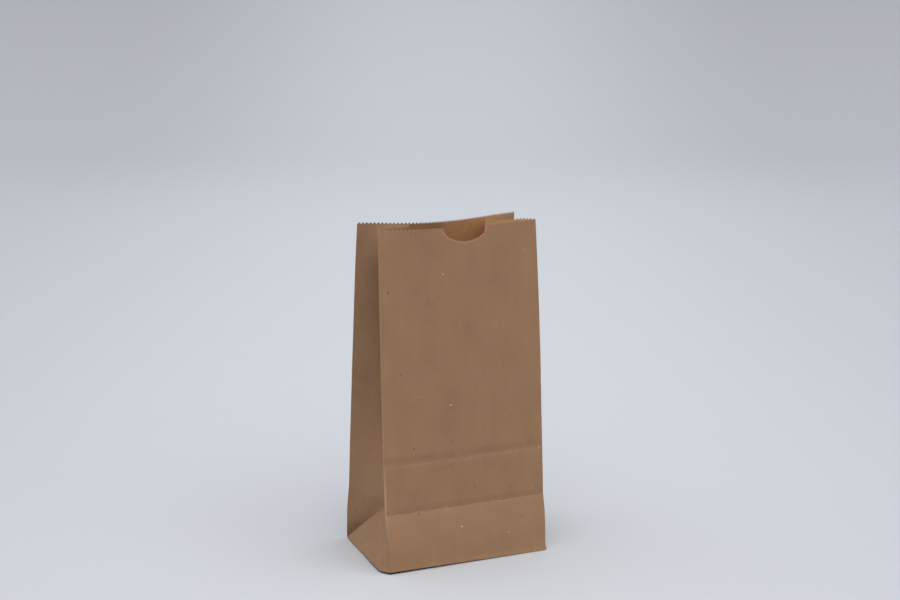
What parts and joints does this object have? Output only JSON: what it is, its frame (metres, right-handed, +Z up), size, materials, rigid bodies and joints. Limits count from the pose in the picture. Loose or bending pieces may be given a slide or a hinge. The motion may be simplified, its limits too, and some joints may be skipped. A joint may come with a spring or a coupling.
{
  "type": "stand-up paper bag",
  "caption": "Open stand-up kraft paper bag with a flat rectangular base, pleated side gussets, a serrated top edge and a thumb notch in the front panel.",
  "frame": {"origin": "centre of the rectangular base, on the surface that the bag stands on", "axes": "+Z up along the bag's height, -Y out of the front panel with the thumb notch, X along the width"},
  "size_m": [0.127, 0.0849, 0.2479],
  "materials": {
    "kraft_paper": "matte"
  },
  "bodies": {
    "root": {"paper_bag": "kraft_paper"}
  },
  "joints": []
}
